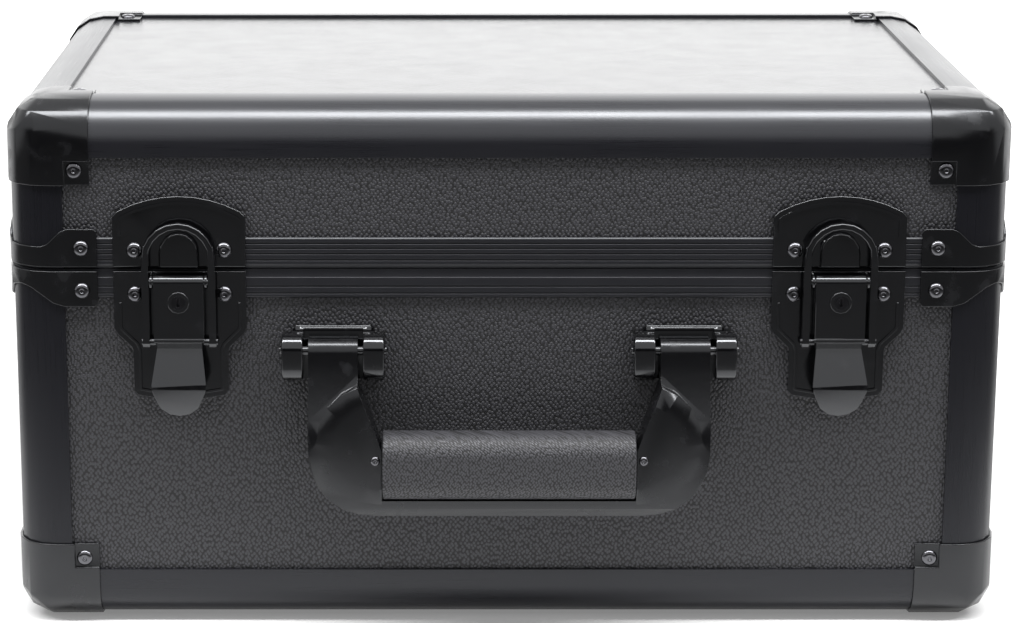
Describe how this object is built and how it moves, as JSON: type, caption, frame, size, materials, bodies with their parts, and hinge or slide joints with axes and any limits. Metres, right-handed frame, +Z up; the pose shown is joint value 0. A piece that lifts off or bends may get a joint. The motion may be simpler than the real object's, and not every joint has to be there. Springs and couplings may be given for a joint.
{
  "type": "card storage case",
  "caption": "Hard-sided case for standing card rows: grained panels in black framed edges, riveted corners, draw latches, a swinging front handle and a rear-hinged lid on stays.",
  "frame": {"origin": "centre of the bounding box's bottom face, where the case stands with its lid shut and its handle hanging", "axes": "+X along the case's width to the viewer's right, +Y from the front with the latches to the hinges, +Z up"},
  "size_m": [0.421, 0.3, 0.2264],
  "materials": {
    "panel_grain": "fine pebble-grained dark grey laminate",
    "rail_black": "black anodised, satin gloss",
    "cap_black": "gloss black enamel on pressed steel",
    "latch_black": "gloss black enamel",
    "rivet_black": "gloss black, domed",
    "lock_steel": "blackened steel",
    "handle_black": "satin-gloss moulded plastic",
    "grip_grain": "grained soft-touch plastic",
    "hinge_steel": "blackened steel",
    "stay_steel": "zinc-plated steel",
    "liner_eva": "soft closed-cell foam sheet",
    "foam_grey": "open-cell foam"
  },
  "bodies": {
    "base": {"base_floor_panel": "panel_grain", "base_front_panel": "panel_grain", "base_back_panel": "panel_grain", "base_left_panel": "panel_grain", "base_right_panel": "panel_grain", "base_front_rail": "rail_black", "base_back_rail": "rail_black", "base_side_rails": "rail_black", "base_corner_posts": "rail_black", "base_rim": "rail_black", "base_corner_caps": "cap_black", "base_rim_brackets": "cap_black", "base_shell_rivets": "rivet_black", "hinge_base_leaves": "hinge_steel", "latch_plate_left": "latch_black", "latch_plate_right": "latch_black", "hardware_rivets_base": "rivet_black", "handle_brackets": "cap_black", "base_liner_floor": "liner_eva", "base_liner_walls": "liner_eva", "insert_walls": "liner_eva", "row_dividers": "liner_eva", "stay_studs": "stay_steel"},
    "lid": {"lid_top_panel": "panel_grain", "lid_front_panel": "panel_grain", "lid_back_panel": "panel_grain", "lid_left_panel": "panel_grain", "lid_right_panel": "panel_grain", "lid_front_rail": "rail_black", "lid_back_rail": "rail_black", "lid_side_rails": "rail_black", "lid_corner_posts": "rail_black", "lid_rim": "rail_black", "lid_corner_caps": "cap_black", "lid_rim_brackets": "cap_black", "lid_shell_rivets": "rivet_black", "hinge_lid_leaves": "hinge_steel", "keeper_plate_left": "latch_black", "keeper_plate_right": "latch_black", "hardware_rivets_lid": "rivet_black", "lid_foam_pad": "foam_grey", "lid_liner_walls": "liner_eva", "stay_pivots": "stay_steel"},
    "handle": {"handle_frame": "handle_black", "handle_grip": "grip_grain", "handle_screws": "cap_black"},
    "lever_left": {"latch_lever_left": "latch_black"},
    "bail_left": {"latch_bail_left": "latch_black"},
    "lock_left": {"lock_plug_left": "lock_steel"},
    "stay_left": {"stay_arm_left": "stay_steel"},
    "lever_right": {"latch_lever_right": "latch_black"},
    "bail_right": {"latch_bail_right": "latch_black"},
    "lock_right": {"lock_plug_right": "lock_steel"},
    "stay_right": {"stay_arm_right": "stay_steel"}
  },
  "joints": [
    {"name": "lid_hinge", "type": "hinge", "parent": "base", "child": "lid", "pos_m": [0, 0.147, 0.1556], "axis": [-1, 0, 0], "range_deg": [0, 95]},
    {"name": "handle_hinge", "type": "hinge", "parent": "base", "child": "handle", "pos_m": [0, -0.1295, 0.1221], "axis": [-1, 0, 0], "range_deg": [0, 110]},
    {"name": "lever_left_hinge", "type": "hinge", "parent": "base", "child": "lever_left", "pos_m": [-0.1365, -0.1306, 0.1516], "axis": [-1, 0, 0], "range_deg": [0, 110]},
    {"name": "bail_left_hinge", "type": "hinge", "parent": "lever_left", "child": "bail_left", "pos_m": [-0.1365, -0.1284, 0.1256], "axis": [1, 0, 0], "range_deg": [0, 132]},
    {"name": "lock_left_turn", "type": "hinge", "parent": "lever_left", "child": "lock_left", "pos_m": [-0.1365, -0.132, 0.1436], "axis": [0, -1, 0], "range_deg": [0, 90]},
    {"name": "stay_left_hinge", "type": "hinge", "parent": "lid", "child": "stay_left", "pos_m": [-0.1967, 0.087, 0.1756], "axis": [1, 0, 0], "range_deg": [0, 63.5]},
    {"name": "lever_right_hinge", "type": "hinge", "parent": "base", "child": "lever_right", "pos_m": [0.1365, -0.1306, 0.1516], "axis": [-1, 0, 0], "range_deg": [0, 110]},
    {"name": "bail_right_hinge", "type": "hinge", "parent": "lever_right", "child": "bail_right", "pos_m": [0.1365, -0.1284, 0.1256], "axis": [1, 0, 0], "range_deg": [0, 132]},
    {"name": "lock_right_turn", "type": "hinge", "parent": "lever_right", "child": "lock_right", "pos_m": [0.1365, -0.132, 0.1436], "axis": [0, -1, 0], "range_deg": [0, 90]},
    {"name": "stay_right_hinge", "type": "hinge", "parent": "lid", "child": "stay_right", "pos_m": [0.1967, 0.087, 0.1756], "axis": [1, 0, 0], "range_deg": [0, 63.5]}
  ],
  "couplings": [
    {"joint": "bail_left_hinge", "follows": "lever_left_hinge", "ratio": 1.2},
    {"joint": "stay_left_hinge", "follows": "lid_hinge", "ratio": 0.66316},
    {"joint": "bail_right_hinge", "follows": "lever_right_hinge", "ratio": 1.2},
    {"joint": "stay_right_hinge", "follows": "lid_hinge", "ratio": 0.66316}
  ]
}
